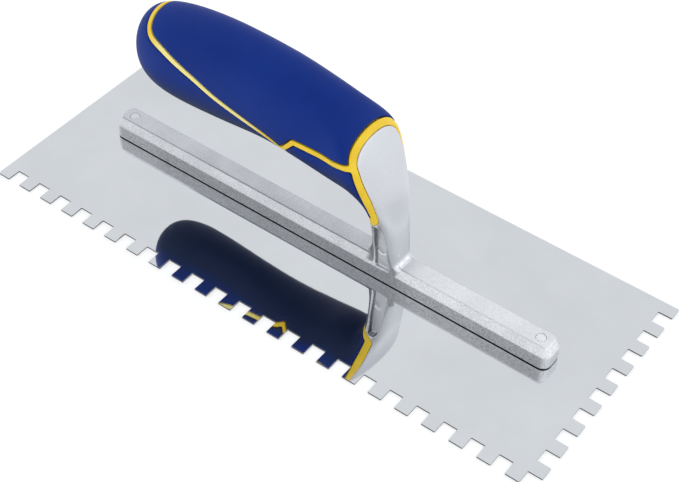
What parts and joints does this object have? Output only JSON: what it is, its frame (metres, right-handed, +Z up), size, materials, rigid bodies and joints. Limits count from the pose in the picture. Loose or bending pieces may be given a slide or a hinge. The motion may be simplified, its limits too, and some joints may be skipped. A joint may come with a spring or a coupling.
{
  "type": "notched trowel",
  "caption": "Notched trowel with a flat square-notched steel blade, a cast aluminium mounting bar and neck, and a closed soft grip handle.",
  "frame": {"origin": "on the blade's sole, under the centre of the blade", "axes": "+X along the blade to the notched short edge and the front of the handle, +Y to the straight long edge, +Z up through the handle"},
  "size_m": [0.2794, 0.1142, 0.0905],
  "materials": {
    "blade_steel": "smooth, bright, fine grained",
    "cast_aluminium": "satin, fine cast grain",
    "rivet_metal": "ground flush",
    "yellow_core": "satin moulded",
    "blue_grip": "soft matte"
  },
  "bodies": {
    "root": {"blade": "blade_steel", "mounting": "cast_aluminium", "handle_core": "yellow_core", "upper_grip": "blue_grip", "lower_grip": "blue_grip", "rivet_1": "rivet_metal", "rivet_2": "rivet_metal", "rivet_3": "rivet_metal", "rivet_4": "rivet_metal", "rivet_5": "rivet_metal", "rivet_6": "rivet_metal", "rivet_7": "rivet_metal"}
  },
  "joints": []
}
